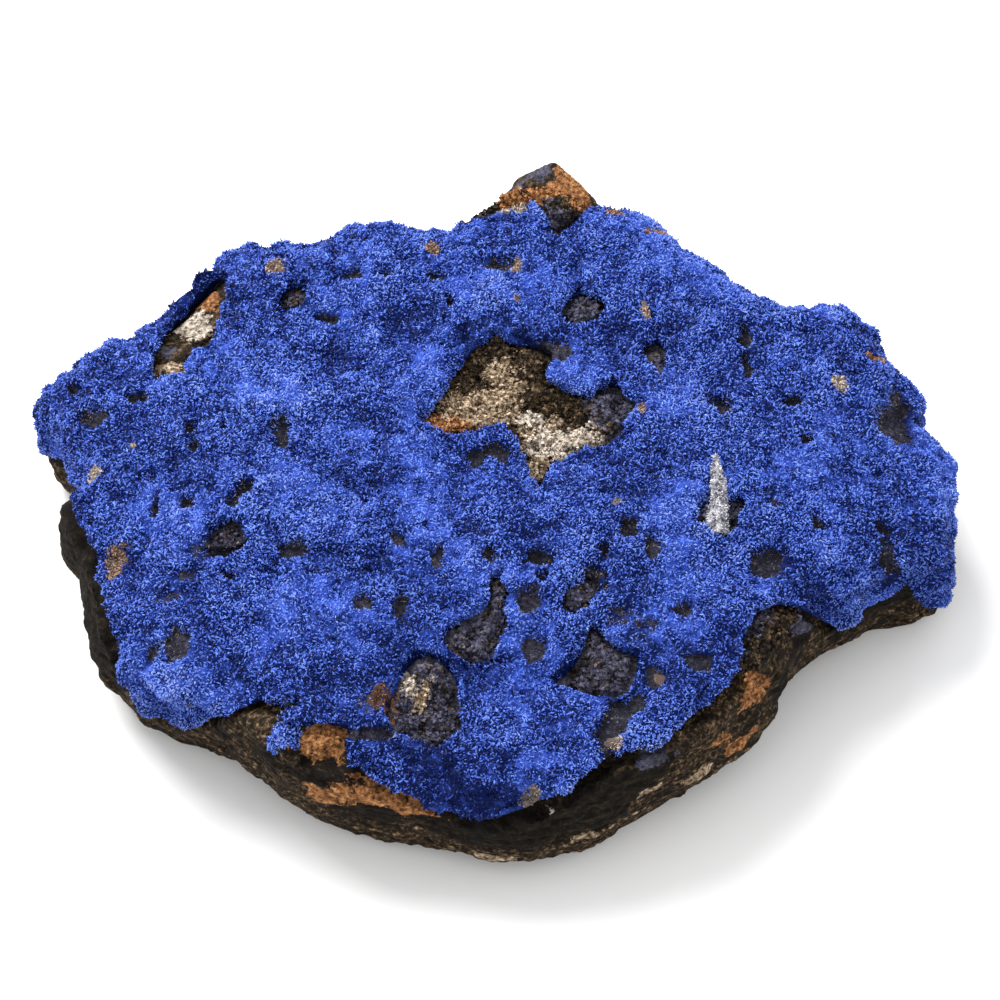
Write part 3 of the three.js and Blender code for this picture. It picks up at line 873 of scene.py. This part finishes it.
def make_floor():
    bpy.ops.object.select_all(action="DESELECT")
    bpy.ops.mesh.primitive_plane_add(size=FLOOR_WIDTH, location=(0, 0, 0))
    floor = bpy.context.active_object
    floor.name = "floor"
    look = Look("pale_floor")
    look.feed(look.shader.inputs["Base Color"], (FLOOR_GREY, FLOOR_GREY, FLOOR_GREY))
    look.feed(look.shader.inputs["Roughness"], 0.9)
    floor.data.materials.append(look.material)


def make_light():
    """A white surround and one soft light from the back left."""
    world = bpy.data.worlds.new("studio")
    bpy.context.scene.world = world
    world.use_nodes = True
    background = world.node_tree.nodes["Background"]
    background.inputs[0].default_value = (1, 1, 1, 1)
    background.inputs[1].default_value = SKY
    data = bpy.data.lights.new("key", "AREA")
    data.shape = "DISK"
    data.size = LIGHT_SIZE
    data.energy = LIGHT_POWER
    lamp = bpy.data.objects.new("key", data)
    bpy.context.scene.collection.objects.link(lamp)
    lamp.location = LIGHT_PLACE
    lamp.rotation_euler = (-Vector(LIGHT_PLACE)).to_track_quat("-Z", "Y").to_euler()
    bpy.context.scene.view_settings.view_transform = "Standard"


def make_camera():
    data = bpy.data.cameras.new("camera")
    data.sensor_width = 36
    data.lens = CAMERA_LENS
    data.shift_x, data.shift_y = CAMERA_SHIFT
    data.clip_start = 0.01
    camera = bpy.data.objects.new("camera", data)
    bpy.context.scene.collection.objects.link(camera)
    back, up = (CAMERA_DISTANCE * part(CAMERA_ELEVATION) for part in (math.cos, math.sin))
    camera.location = MM * (Vector(CAMERA_AIM) + Vector((0, -back, up)))
    camera.rotation_euler = (math.pi / 2 - CAMERA_ELEVATION, 0, 0)
    bpy.context.scene.camera = camera


# ---------------------------------------------------------------- the specimen
def put_on(pieces, material):
    """Gives pieces their material, and lets them ride on the specimen."""
    for piece in pieces:
        piece.data.materials.append(material)
        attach(piece, "root")


make_camera()
make_floor()
make_light()
rng = np.random.default_rng(SEED)
bare_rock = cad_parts["matrix_rock"]
bare_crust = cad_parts["azurite_crust"]
crust = make_crust(bare_rock)
rock = make_rock(bare_crust)
druse = grow_druse(crust, rng)
rock_grains = grow_rock_grains(rock, rng)
patch, patch_druse = make_patch(bare_rock, rng)
needle, needle_grains = make_needle(rng)

put_on((needle, needle_grains), pale_look())
put_on((rock, rock_grains), rock_look())
put_on((crust, patch), azurite_look("azurite_ground", 0.03))
put_on((patch_druse, *druse), azurite_look("azurite_crystals", 0.2))
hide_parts("matrix_rock")
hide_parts("azurite_crust")
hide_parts("azurite_patch")
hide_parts("pale_needle")
